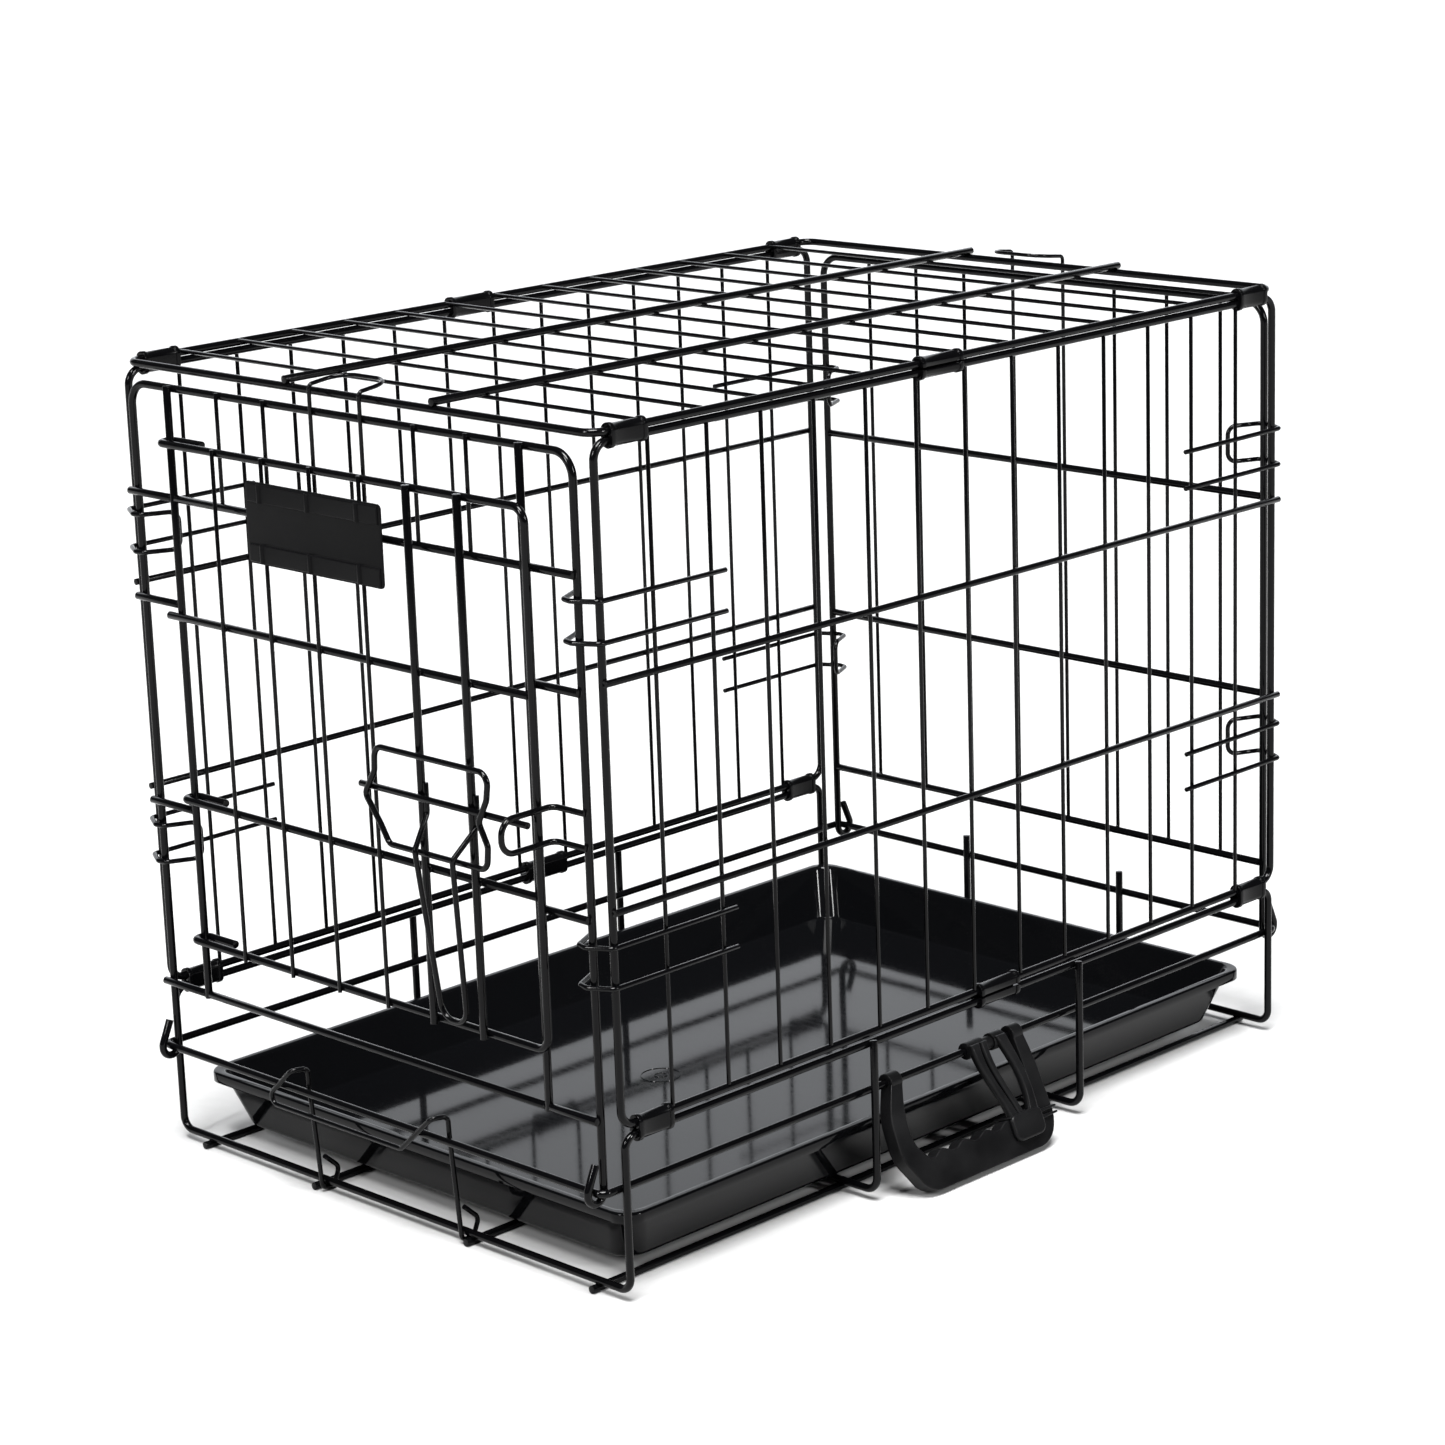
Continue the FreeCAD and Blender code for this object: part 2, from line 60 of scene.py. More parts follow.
# ---------------------------------------------------------------- settings
def colour_prop(name, description, default):
    return bpy.props.FloatVectorProperty(
        name=name, description=description, subtype="COLOR", size=3, min=0, max=1, default=default
    )


def length_prop(name, description, default):
    return bpy.props.FloatProperty(
        name=name, description=description, subtype="DISTANCE", unit="LENGTH", default=default
    )


class CrateFinishSettings(bpy.types.PropertyGroup):
    coat: colour_prop("Coat", "Powder coat on every wire", (0.001, 0.001, 0.0012))
    coat_roughness: bpy.props.FloatProperty(
        name="Coat roughness", description="Middle roughness of the powder coat", default=0.13, min=0, max=1
    )
    tray: colour_prop("Tray", "Moulded tray", (0.0016, 0.0017, 0.002))
    handle: colour_prop("Handle", "Moulded carrying handle", (0.0022, 0.0022, 0.0024))
    plate: colour_prop("Plate", "Painted plate on the door", (0.0018, 0.0018, 0.002))
    edge_round: length_prop("Edge rounding", "Radius on cut wire ends and sheet edges", 0.35 * MM)
    handle_tilt: bpy.props.FloatProperty(
        name="Handle tilt", description="Angle the handle stands out from the side", subtype="ANGLE",
        default=math.radians(23)
    )


class CrateStudioSettings(bpy.types.PropertyGroup):
    azimuth: bpy.props.FloatProperty(
        name="Azimuth", description="Camera bearing from the door side", subtype="ANGLE",
        default=math.radians(45.111)
    )
    elevation: bpy.props.FloatProperty(
        name="Elevation", description="Camera height above the horizon", subtype="ANGLE",
        default=math.radians(14.908)
    )
    roll: bpy.props.FloatProperty(
        name="Roll", description="Camera roll", subtype="ANGLE", default=math.radians(-1.96)
    )
    position: bpy.props.FloatVectorProperty(
        name="Position", description="Camera position", subtype="TRANSLATION", size=3,
        default=(1.7009, -1.6957, 0.8894),
    )
    lens: bpy.props.FloatProperty(
        name="Lens", description="Focal length on a 36 mm sensor", subtype="DISTANCE_CAMERA", default=97.48
    )
    floor: colour_prop("Floor", "Grey studio floor, lit until it is white", (0.36, 0.36, 0.36))
    room: bpy.props.FloatProperty(
        name="Room", description="Brightness of the dim side of the room", default=0.07
    )
    wall: bpy.props.FloatProperty(name="Wall", description="Brightness of the far wall", default=1.7)
    floor_side: length_prop("Floor side", "Length of one side of the floor", 60.0)


# ---------------------------------------------------------------- materials
class Nodes:
    """Short way to add and join shader nodes in one material."""

    def __init__(self, name):
        self.material = bpy.data.materials.new(name)
        self.material.use_nodes = True
        self.tree = self.material.node_tree
        self.shader = self.tree.nodes["Principled BSDF"]
        self.coords = self.tree.nodes.new("ShaderNodeTexCoord").outputs["Object"]

    def add(self, kind, **values):
        node = self.tree.nodes.new("ShaderNode" + kind)
        for key, value in values.items():
            if hasattr(node, key):
                setattr(node, key, value)
            else:
                node.inputs[key.replace("_", " ")].default_value = value
        return node

    def link(self, source, target):
        self.tree.links.new(source, target)

    def noise(self, scale, detail=2.0, stretch=(1, 1, 1), roughness=0.5):
        mapping = self.add("Mapping")
        mapping.inputs["Scale"].default_value = stretch
        self.link(self.coords, mapping.inputs["Vector"])
        node = self.add("TexNoise", Scale=scale, Detail=detail, Roughness=roughness)
        self.link(mapping.outputs["Vector"], node.inputs["Vector"])
        return node.outputs["Fac"]

    def remap(self, source, low, high, start=0.3, end=0.7):
        node = self.add("MapRange")
        for key, value in (("From Min", start), ("From Max", end), ("To Min", low), ("To Max", high)):
            node.inputs[key].default_value = value
        self.link(source, node.inputs["Value"])
        return node.outputs["Result"]

    def blend(self, factor, low, high):
        node = self.add("Mix", data_type="RGBA")
        self.link(factor, node.inputs["Factor"])
        node.inputs[6].default_value = (*low, 1)
        node.inputs[7].default_value = (*high, 1)
        return node.outputs[2]

    def bump(self, height, strength, distance, under=None):
        node = self.add("Bump", Strength=strength, Distance=distance)
        self.link(height, node.inputs["Height"])
        if under:
            self.link(under, node.inputs["Normal"])
        return node.outputs["Normal"]

    def finish(self, colour, roughness, normal):
        self.link(colour, self.shader.inputs["Base Color"])
        self.link(roughness, self.shader.inputs["Roughness"])
        self.link(normal, self.shader.inputs["Normal"])
        return self.material


def lighter(colour, gain, lift=0.0):
    return tuple(c * gain + lift for c in colour)


def powder_coat(name, colour, roughness, specular):
    """Sprayed and baked coat: faint orange peel, drifting gloss and a little dust."""
    n = Nodes(name)
    peel = n.noise(650.0, 3.0)
    drift = n.noise(9.0, 2.0)
    dust = n.noise(260.0, 4.0, roughness=0.7)
    n.shader.inputs["Specular IOR Level"].default_value = specular
    return n.finish(
        n.blend(n.remap(dust, 0, 1, 0.66, 0.8), colour, lighter(colour, 2.0, 0.0004)),
        n.remap(drift, roughness * 0.75, roughness * 1.35),
        n.bump(peel, 0.16, 0.12 * MM),
    )


def moulded_gloss(name, colour):
    """Vacuum-formed sheet: slow waves in the gloss, fine scuffs and a hint of grain."""
    n = Nodes(name)
    waves = n.noise(7.0, 2.0)
    scuffs = n.noise(60.0, 6.0, stretch=(1, 14, 1), roughness=0.75)
    n.shader.inputs["Specular IOR Level"].default_value = 0.11
    return n.finish(
        n.blend(n.remap(scuffs, 0, 1, 0.6, 0.85), colour, lighter(colour, 1.8, 0.0004)),
        n.remap(scuffs, 0.05, 0.11, 0.35, 0.75),
        n.bump(waves, 0.2, 1.0 * MM),
    )


def moulded_grip(name, colour):
    """Injection-moulded plastic with spark-eroded grain and shinier worn patches."""
    n = Nodes(name)
    grain = n.noise(1100.0, 4.0, roughness=0.6)
    wear = n.noise(34.0, 3.0)
    n.shader.inputs["Specular IOR Level"].default_value = 0.1
    return n.finish(
        n.blend(n.remap(wear, 0, 1), colour, lighter(colour, 1.5, 0.0008)),
        n.remap(wear, 0.28, 0.46),
        n.bump(grain, 0.25, 0.1 * MM),
    )


def studio_floor(name, colour):
    n = Nodes(name)
    cloud = n.noise(0.8, 2.0)
    tooth = n.noise(90.0, 2.0)
    return n.finish(
        n.blend(n.remap(cloud, 0, 1), colour, lighter(colour, 0.985)),
        n.remap(tooth, 0.55, 0.7),
        n.bump(tooth, 0.02, 0.2 * MM),
    )


def node_group(name):
    """Empty geometry node group with its input and output."""
    tree = bpy.data.node_groups.new(name, "GeometryNodeTree")
    tree.interface.new_socket("Geometry", in_out="INPUT", socket_type="NodeSocketGeometry")
    tree.interface.new_socket("Geometry", in_out="OUTPUT", socket_type="NodeSocketGeometry")
    return tree, tree.nodes.new("NodeGroupInput"), tree.nodes.new("NodeGroupOutput")


def joining_group():
    """Joins the loose triangles of a CAD node."""
    tree, start, end = node_group("join_triangles")
    join = tree.nodes.new("GeometryNodeMergeByDistance")
    join.inputs["Distance"].default_value = 0.002 * MM
    tree.links.new(start.outputs[0], join.inputs["Geometry"])
    tree.links.new(join.outputs["Geometry"], end.inputs[0])
    return tree


def smoothing_group():
    """Shades round surfaces smooth and keeps real edges sharp."""
    tree, start, end = node_group("smooth_round_faces")
    angle = tree.nodes.new("GeometryNodeInputMeshEdgeAngle")
    sharp = tree.nodes.new("FunctionNodeCompare")
    sharp.operation = "GREATER_THAN"
    sharp.inputs[1].default_value = math.radians(50)
    faces = tree.nodes.new("GeometryNodeSetShadeSmooth")
    faces.domain = "FACE"
    edges = tree.nodes.new("GeometryNodeSetShadeSmooth")
    edges.domain = "EDGE"
    edges.inputs["Shade Smooth"].default_value = False
    tree.links.new(start.outputs[0], faces.inputs["Geometry"])
    tree.links.new(faces.outputs["Geometry"], edges.inputs["Geometry"])
    tree.links.new(angle.outputs["Unsigned Angle"], sharp.inputs[0])
    tree.links.new(sharp.outputs["Result"], edges.inputs["Selection"])
    tree.links.new(edges.outputs["Geometry"], end.inputs[0])
    return tree


SLOTS = {part["node"]: part["material_slot"] for part in frame["record"]["subparts"]}


FINISHES = {}
CENTRE_Y = sum(corner[1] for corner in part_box("base_ring")) / 2  # middle of the crate's length
RING_R = 2.4 * MM  # radius of the ring wire the handle turns on
SIDE_GAP = 0.95 * MM  # how far a weld bead stands past two wires that barely overlap


def paint(obj, material):
    obj.data.materials.clear()
    obj.data.materials.append(material)


def flatten_shading(obj):
    """Lets the wide faces set the normals, so that flat areas reflect like flat areas."""
    weighted = obj.modifiers.new("flat_faces", "WEIGHTED_NORMAL")
    weighted.keep_sharp = True
    weighted.weight = 60


class CRATE_OT_finishes(bpy.types.Operator):
    """Gives every CAD node its finish, joined surfaces and rounded cut edges"""

    bl_idname = "crate.finishes"
    bl_label = "Finishes"

    def execute(self, context):
        settings = context.scene.crate_finish
        gloss = settings.coat_roughness
        FINISHES["wire"] = powder_coat("black_powder_coat", settings.coat, gloss, 0.13)
        FINISHES["sleeve"] = powder_coat("black_sleeve_coat", settings.coat, gloss * 1.4, 0.11)
        FINISHES["plate"] = powder_coat("black_plate_paint", settings.plate, 0.34, 0.06)
        FINISHES["tray"] = moulded_gloss("black_tray_gloss", settings.tray)
        FINISHES["handle"] = moulded_grip("black_handle_grip", settings.handle)
        joined = joining_group()
        smooth = smoothing_group()
        for name, obj in frame["nodes"].items():
            paint(obj, FINISHES[SLOTS[name]])
            obj.modifiers.new("join", "NODES").node_group = joined
            bevel = obj.modifiers.new("rounded_edges", "BEVEL")
            bevel.width = settings.edge_round
            bevel.segments = 2
            bevel.limit_method = "ANGLE"
            bevel.angle_limit = math.radians(55)
            obj.modifiers.new("smooth", "NODES").node_group = smooth
        return {"FINISHED"}


# ---------------------------------------------------------------- new pieces
def build(name, bm, slot, body, replaced=(), sharp=40):
    """Turns a bmesh into a finished piece that rides on a CAD body."""
    bmesh.ops.remove_doubles(bm, verts=bm.verts[:], dist=0.001 * MM)
    bmesh.ops.recalc_face_normals(bm, faces=bm.faces[:])
    mesh = bpy.data.meshes.new(name)
    bm.to_mesh(mesh)
    bm.free()
    mesh.shade_smooth()
    mesh.set_sharp_from_angle(angle=math.radians(sharp))
    obj = bpy.data.objects.new(name, mesh)
    bpy.context.collection.objects.link(obj)
    paint(obj, FINISHES[slot])
    flatten_shading(obj)
    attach(obj, body)
    if replaced:
        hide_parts(*replaced)
    return obj


def bevel(bm, geometry, offset, segments, affect):
    bmesh.ops.bevel(
        bm, geom=geometry, offset=offset, segments=segments, profile=0.5, affect=affect,
        clamp_overlap=True, material=-1,
    )


def loop_edges(bm):
    return [e for e in bm.edges if e.is_boundary]


def extrude_ring(bm, edges, half_x, half_y, z, centre):
    """Extrudes a rounded-rectangle edge ring and moves it to a new half size and height."""
    grown = bmesh.ops.extrude_edge_only(bm, edges=edges)["geom"]
    verts = [g for g in grown if isinstance(g, bmesh.types.BMVert)]
    old_x = max(abs(v.co.x - centre.x) for v in verts)
    old_y = max(abs(v.co.y - centre.y) for v in verts)
    for v in verts:
        corner = Vector((v.co.x - centre.x, v.co.y - centre.y))
        v.co.x = centre.x + corner.x + math.copysign(half_x - old_x, corner.x)
        v.co.y = centre.y + corner.y + math.copysign(half_y - old_y, corner.y)
        v.co.z = z
    return [g for g in grown if isinstance(g, bmesh.types.BMEdge)]


class CRATE_OT_tray(bpy.types.Operator):
    """Models the moulded tray: floor, sloping walls, flat rim and turned-down lip"""

    bl_idname = "crate.tray"
    bl_label = "Tray"

    def execute(self, context):
        low, high = (Vector(corner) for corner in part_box("tray"))
        centre = (low + high) / 2
        half = (high - low) / 2
        wall = 2.0 * MM
        top = high.z
        floor = low.z + wall
        bm = bmesh.new()
        bmesh.ops.create_grid(bm, x_segments=1, y_segments=1, size=0.5)
        for v in bm.verts:
            x = centre.x + v.co.x * 2 * (half.x - 19 * MM)
            y = centre.y + v.co.y * 2 * (half.y - 17 * MM)
            v.co = Vector((x, y, floor))
        for v in bm.verts[:]:
            bevel(bm, [v], 14 * MM, 8, "VERTICES")
        ring = loop_edges(bm)
        steps = (
            (half.x - 18.4 * MM, half.y - 16.4 * MM, floor + 0.5 * MM),
            (half.x - 18 * MM, half.y - 16 * MM, floor + 1.6 * MM),
            (half.x - 6.4 * MM, half.y - 6.1 * MM, top - 2.2 * MM),
            (half.x - 5.7 * MM, half.y - 5.4 * MM, top - 0.7 * MM),
            (half.x - 4.6 * MM, half.y - 4.6 * MM, top),
            (half.x - 1.2 * MM, half.y - 1.2 * MM, top),
            (half.x - 0.3 * MM, half.y - 0.3 * MM, top - 0.4 * MM),
            (half.x, half.y, top - 1.4 * MM),
            (half.x, half.y, top - 6.5 * MM),
        )
        for half_x, half_y, z in steps:
            ring = extrude_ring(bm, ring, half_x, half_y, z, centre)
        bmesh.ops.recalc_face_normals(bm, faces=bm.faces[:])
        if bm.faces[0].normal.z < 0:
            bmesh.ops.reverse_faces(bm, faces=bm.faces[:])
        mesh = bpy.data.meshes.new("tray_shell")
        bm.to_mesh(mesh)
        bm.free()
        mesh.shade_smooth()
        mesh.set_sharp_from_angle(angle=math.radians(50))
        tray = bpy.data.objects.new("tray_shell", mesh)
        context.collection.objects.link(tray)
        thickness = tray.modifiers.new("wall", "SOLIDIFY")
        thickness.thickness = wall
        thickness.offset = -1
        flatten_shading(tray)
        paint(tray, FINISHES["tray"])
        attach(tray, "tray")
        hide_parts("tray")

        gate = bmesh.new()
        for radius in (4.0, 13.0):
            r = radius * MM
            lip = 0.45 * MM
            points = [(r - lip, 0.0), (r - lip / 2, lip), (r + lip / 2, lip), (r + lip, 0.0)]
            verts = [gate.verts.new((x, 0, z)) for x, z in points]
            edges = [gate.edges.new(pair) for pair in zip(verts, verts[1:])]
            edges.append(gate.edges.new((verts[-1], verts[0])))
            bmesh.ops.spin(
                gate, geom=verts + edges, cent=(0, 0, 0), axis=(0, 0, 1), dvec=(0, 0, 0), angle=2 * math.pi,
                steps=48, use_merge=True,
            )
        place = Vector((centre.x - 28 * MM, centre.y - 45 * MM, floor - 0.05 * MM))
        bmesh.ops.translate(gate, verts=gate.verts[:], vec=place)
        build("tray_gate_mark", gate, "tray", "tray")
        return {"FINISHED"}


def on_ring(bm):
    """Moves a part drawn on the ring, hanging along -Z, to its tilt and place."""
    low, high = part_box("base_ring")
    tilt = bpy.context.scene.crate_finish.handle_tilt
    place = Matrix.Translation((high[0] - RING_R, CENTRE_Y, (low[2] + high[2]) / 2))
    bmesh.ops.transform(bm, matrix=place @ Matrix.Rotation(-tilt, 4, "Y"), verts=bm.verts[:])


def slab(bm, outline, x0, x1, edge):
    """Flat plate from an outline of (y, drop, corner radius) in millimetres, with rounded rims."""
    verts = [bm.verts.new((x0 * MM, y * MM, -drop * MM)) for y, drop, _ in outline]
    bm.faces.new(verts)
    for vert, (_, _, radius) in zip(verts, outline):
        if radius:
            bevel(bm, [vert], radius * MM, 5, "VERTICES")
    faces = [f for f in bm.faces if all(abs(v.co.x - x0 * MM) < 1e-7 for v in f.verts)]
    face = max(faces, key=lambda f: len(f.verts))
    top = bmesh.ops.extrude_face_region(bm, geom=[face])["geom"]
    moved = [g for g in top if isinstance(g, bmesh.types.BMVert)]
    bmesh.ops.translate(bm, verts=moved, vec=((x1 - x0) * MM, 0, 0))
    moved = set(moved)
    base = set(face.verts)
    rims = [e for e in bm.edges if all(v in moved for v in e.verts) or all(v in base for v in e.verts)]
    bevel(bm, rims, edge * MM, 3, "EDGES")


def eyelet(bm, y0, y1, radius, bore=2.5, edge=0.8):
    """Round collar on the ring."""
    profile = [
        (bore, y0), (radius - edge, y0), (radius - 0.3 * edge, y0 + 0.3 * edge), (radius, y0 + edge),
        (radius, y1 - edge), (radius - 0.3 * edge, y1 - 0.3 * edge), (radius - edge, y1), (bore, y1),
    ]
    verts = [bm.verts.new((r * MM, y * MM, 0)) for r, y in profile]
    edges = [bm.edges.new((verts[i - 1], verts[i])) for i in range(len(verts))]
    bmesh.ops.spin(
        bm, geom=verts + edges, cent=(0, 0, 0), axis=(0, 1, 0), dvec=(0, 0, 0), angle=2 * math.pi, steps=40,
        use_merge=True,
    )


def strand(bm, start, end, bulge, wide, narrow):
    """One springy arm of the clip, bending from its barrel on the ring down to the cuff."""
    left, right = [], []
    for step in range(13):
        t = step / 12
        ease = t * t * (3 - 2 * t)
        middle = start + (end - start) * ease + bulge * math.sin(math.pi * t)
        half = (wide + (narrow - wide) * math.sin(math.pi * t)) / 2
        drop = 56.0 * t - 2.5
        left.append((middle - half, drop, 0))
        right.append((middle + half, drop, 0))
    slab(bm, left + right[::-1], 2.6, 7.6, 1.6)


class CRATE_OT_handle(bpy.types.Operator):
    """Models the bow handle with its finger hollows and the two-armed clip"""

    bl_idname = "crate.handle"
    bl_label = "Handle"

    def execute(self, context):
        outside = [
            (-76.5, 2, 0), (-86, 20, 8), (-87, 46, 7), (-71, 72, 9),
            (39, 72, 8), (50, 60, 8), (48.5, 20, 8), (45.5, 2, 0),
        ]
        right = [(36, 2, 0), (37, 20, 8), (37.5, 50, 4)]
        left = [(-65, 50.5, 5), (-73.5, 40, 6), (-73, 20, 8), (-66.5, 2, 0)]
        hollows = []
        for step in range(49):
            y = 18.0 - 80.0 * step / 48
            hollows.append((y, 50.6 + 1.9 * math.cos(math.tau * (y - 18.0) / 20.0), 0))
        bm = bmesh.new()
        slab(bm, outside + right + hollows + left, -5.0, 5.0, 3.0)
        eyelet(bm, -76.5, -66.5, 5.8)
        eyelet(bm, 36.0, 45.5, 5.8)
        on_ring(bm)
        build("bow_handle", bm, "handle", "carry_handle", ["carry_handle"])

        bm = bmesh.new()
        eyelet(bm, -4.0, 11.0, 5.4)
        eyelet(bm, 10.0, 20.0, 4.1)
        eyelet(bm, 19.0, 29.5, 5.6)
        strand(bm, 0.0, 14.5, -1.5, 8.0, 6.0)
        strand(bm, 8.0, 21.0, -2.0, 6.0, 5.0)
        strand(bm, 24.0, 30.0, 5.0, 9.0, 7.0)
        slab(bm, [(8.5, 47, 4), (36.5, 47, 4), (36.5, 64, 6), (8.5, 64, 6)], 5.2, 8.8, 1.6)
        slab(bm, [(9, 47, 1), (34, 47, 1), (34, 48.9, 1), (9, 48.9, 1)], -7.9, 8.0, 0.6)
        slab(bm, [(9, 47, 2), (34, 47, 2), (34, 64, 5), (9, 64, 5)], -8.2, -5.6, 1.1)
        for drop in (49.5, 53.5):
            prong = [(33, drop, 1), (51, drop + 0.8, 0.5), (51, drop + 2, 0.5), (33, drop + 2.6, 1)]
            slab(bm, prong, 5.6, 7.4, 0.5)
        on_ring(bm)
        build("handle_snap_clip", bm, "handle", "handle_clip", ["handle_clip"])
        return {"FINISHED"}


def straight_wires(node):
    """Lowest and highest corner of each separate solid in a CAD node."""
    bm = bmesh.new()
    bm.from_mesh(frame["nodes"][node].data)
    bmesh.ops.remove_doubles(bm, verts=bm.verts[:], dist=0.002 * MM)
    boxes = []
    seen = set()
    for vert in bm.verts:
        if vert.index in seen:
            continue
        seen.add(vert.index)
        group = [vert]
        for member in group:
            for edge in member.link_edges:
                other = edge.other_vert(member)
                if other.index not in seen:
                    seen.add(other.index)
                    group.append(other)
        boxes.append((
            Vector([min(v.co[i] for v in group) for i in range(3)]),
            Vector([max(v.co[i] for v in group) for i in range(3)]),
        ))
    bm.free()
    return boxes


def weld_bead(bm, low, high):
    """Squeezed-out metal and pooled coat where two wires are welded."""
    bead = bmesh.ops.create_icosphere(bm, subdivisions=2, radius=1.0)["verts"]
    size = [max((high[i] - low[i]) / 2 * 1.06, 0) for i in range(3)]
    thin = size.index(min(size))
    size[thin] += SIDE_GAP
    bmesh.ops.scale(bm, vec=size, verts=bead)
    bmesh.ops.translate(bm, vec=(low + high) / 2, verts=bead)


CROSSINGS = {
    "side_right": [("side_right_rails", "side_right_verticals")],
    "side_left": [("side_left_rails", "side_left_verticals")],
    "top": [("top_long_wires", "top_cross_wires")],
    "front_panel": [("front_rails", "door_hinge_post"), ("front_rails", "door_strike_post")],
    "rear_panel": [("rear_rails", "rear_verticals")],
    "door": [("door_rails", "door_thin_verticals"), ("door_rails", "door_thick_verticals")],
}


class CRATE_OT_welds(bpy.types.Operator):
    """Adds a weld bead wherever two straight wires of a panel cross"""

    bl_idname = "crate.welds"
    bl_label = "Welds"

    def execute(self, context):
        for body, pairs in CROSSINGS.items():
            bm = bmesh.new()
            for first, second in pairs:
                others = straight_wires(second)
                for low, high in straight_wires(first):
                    for low_b, high_b in others:
                        low_c = Vector([max(low[i], low_b[i]) for i in range(3)])
                        high_c = Vector([min(high[i], high_b[i]) for i in range(3)])
                        if all(high_c[i] > low_c[i] - 0.01 * MM for i in range(3)):
                            weld_bead(bm, low_c, high_c)
            build(body + "_welds", bm, "wire", body)
        return {"FINISHED"}


# ---------------------------------------------------------------- studio
def soft_light(name, place, aim, size, power):
    light = bpy.data.lights.new(name, "AREA")
    light.shape = "RECTANGLE"
    light.size, light.size_y = size
    light.energy = power
    obj = bpy.data.objects.new(name, light)
    bpy.context.collection.objects.link(obj)
    obj.location = place
    obj.rotation_euler = (Vector(aim) - Vector(place)).to_track_quat("-Z", "Y").to_euler()
    return obj


def wire_up_sky(tree, settings):
    """Dim room with a bright wall on the far side, low over the horizon."""
    sky = tree.nodes["Background"]
    coords = tree.nodes.new("ShaderNodeTexCoord")
    split = tree.nodes.new("ShaderNodeSeparateXYZ")
    towards = tree.nodes.new("ShaderNodeVectorMath")
    towards.operation = "DOT_PRODUCT"
    az = settings.azimuth
    towards.inputs[1].default_value = (-math.sin(az), math.cos(az), 0)
    tree.links.new(coords.outputs["Generated"], towards.inputs[0])
    tree.links.new(coords.outputs["Generated"], split.inputs[0])

    def ramp(source, start, end, low, high):
        node = tree.nodes.new("ShaderNodeMapRange")
        node.interpolation_type = "SMOOTHSTEP"
        for key, value in (("From Min", start), ("From Max", end), ("To Min", low), ("To Max", high)):
            node.inputs[key].default_value = value
        tree.links.new(source, node.inputs["Value"])
        return node.outputs["Result"]

    wall = ramp(towards.outputs["Value"], 0.55, 0.85, 0.0, 1.0)
    low = ramp(split.outputs["Z"], 0.42, 0.6, 1.0, 0.0)
    both = tree.nodes.new("ShaderNodeMath")
    both.operation = "MULTIPLY"
    tree.links.new(wall, both.inputs[0])
    tree.links.new(low, both.inputs[1])
    tree.links.new(ramp(both.outputs[0], 0.0, 1.0, settings.room, settings.wall), sky.inputs["Strength"])
    sky.inputs["Color"].default_value = (0.93, 0.96, 1.0, 1)


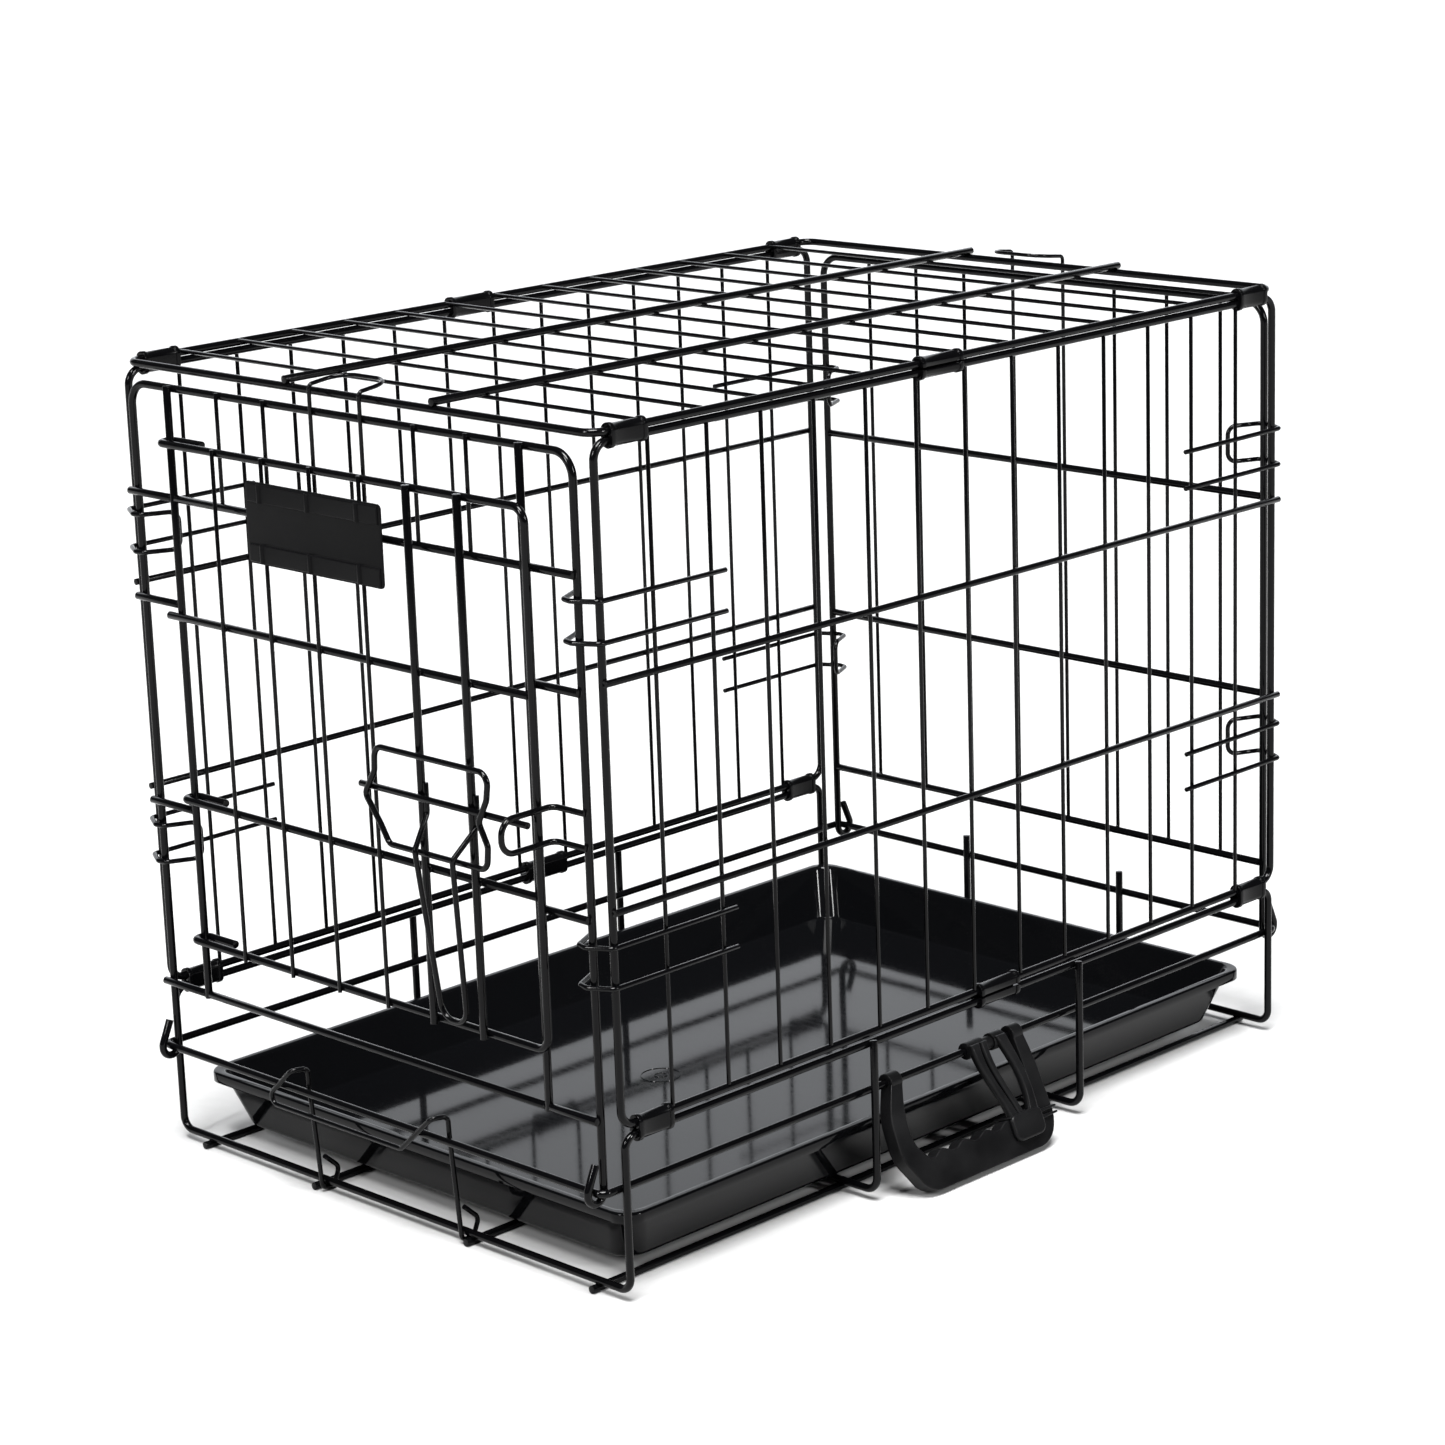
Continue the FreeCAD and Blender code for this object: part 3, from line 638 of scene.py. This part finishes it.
class CRATE_OT_studio(bpy.types.Operator):
    """Builds the floor, the soft lights, the sky and the camera"""

    bl_idname = "crate.studio"
    bl_label = "Studio"

    def execute(self, context):
        settings = context.scene.crate_studio
        mesh = bpy.data.meshes.new("studio_floor")
        bm = bmesh.new()
        bmesh.ops.create_grid(bm, x_segments=1, y_segments=1, size=settings.floor_side / 2)
        bm.to_mesh(mesh)
        bm.free()
        floor = bpy.data.objects.new("studio_floor", mesh)
        context.collection.objects.link(floor)
        paint(floor, studio_floor("studio_floor", settings.floor))

        world = bpy.data.worlds.new("studio")
        world.use_nodes = True
        wire_up_sky(world.node_tree, settings)
        context.scene.world = world
        context.scene.view_settings.view_transform = "Standard"

        middle = (0.0, 0.0, 0.25)
        soft_light("key", (0.2, -3.2, 2.2), middle, (0.25, 1.1), 90)
        soft_light("fill", (3.4, 0.4, 1.8), middle, (0.25, 1.1), 90)
        high_sun = bpy.data.lights.new("high_sun", "SUN")
        high_sun.energy = 10.5
        high_sun.angle = math.radians(28)
        sun = bpy.data.objects.new("high_sun", high_sun)
        context.collection.objects.link(sun)
        sun.rotation_euler = (math.radians(14), math.radians(12), 0)

        data = bpy.data.cameras.new("camera")
        data.lens = settings.lens
        data.sensor_width = 36.0
        data.clip_end = 200.0
        camera = bpy.data.objects.new("camera", data)
        context.collection.objects.link(camera)
        az, el, roll = settings.azimuth, settings.elevation, settings.roll
        ahead = Vector((-math.sin(az) * math.cos(el), math.cos(az) * math.cos(el), -math.sin(el)))
        right = ahead.cross(Vector((0, 0, 1))).normalized()
        above = right.cross(ahead)
        side = right * math.cos(roll) + above * math.sin(roll)
        up = above * math.cos(roll) - right * math.sin(roll)
        turn = Matrix((side, up, -ahead)).transposed().to_4x4()
        camera.matrix_world = Matrix.Translation(settings.position) @ turn
        context.scene.camera = camera
        return {"FINISHED"}


# ---------------------------------------------------------------- panel and run
class CRATE_PT_panel(bpy.types.Panel):
    bl_label = "Crate"
    bl_idname = "CRATE_PT_panel"
    bl_space_type = "VIEW_3D"
    bl_region_type = "UI"
    bl_category = "Crate"

    def draw(self, context):
        for step in STEPS:
            self.layout.operator(step.bl_idname)


STEPS = (CRATE_OT_finishes, CRATE_OT_tray, CRATE_OT_handle, CRATE_OT_welds, CRATE_OT_studio)
SETTINGS = {"crate_finish": CrateFinishSettings, "crate_studio": CrateStudioSettings}


def register():
    for group in SETTINGS.values():
        bpy.utils.register_class(group)
    for name, group in SETTINGS.items():
        setattr(bpy.types.Scene, name, bpy.props.PointerProperty(type=group))
    for step in STEPS:
        bpy.utils.register_class(step)
    bpy.utils.register_class(CRATE_PT_panel)


def unregister():
    bpy.utils.unregister_class(CRATE_PT_panel)
    for step in reversed(STEPS):
        bpy.utils.unregister_class(step)
    for name, group in SETTINGS.items():
        delattr(bpy.types.Scene, name)
        bpy.utils.unregister_class(group)


def main():
    register()
    for step in STEPS:
        area, verb = step.bl_idname.split(".")
        getattr(getattr(bpy.ops, area), verb)()


if __name__ == "__main__":
    main()
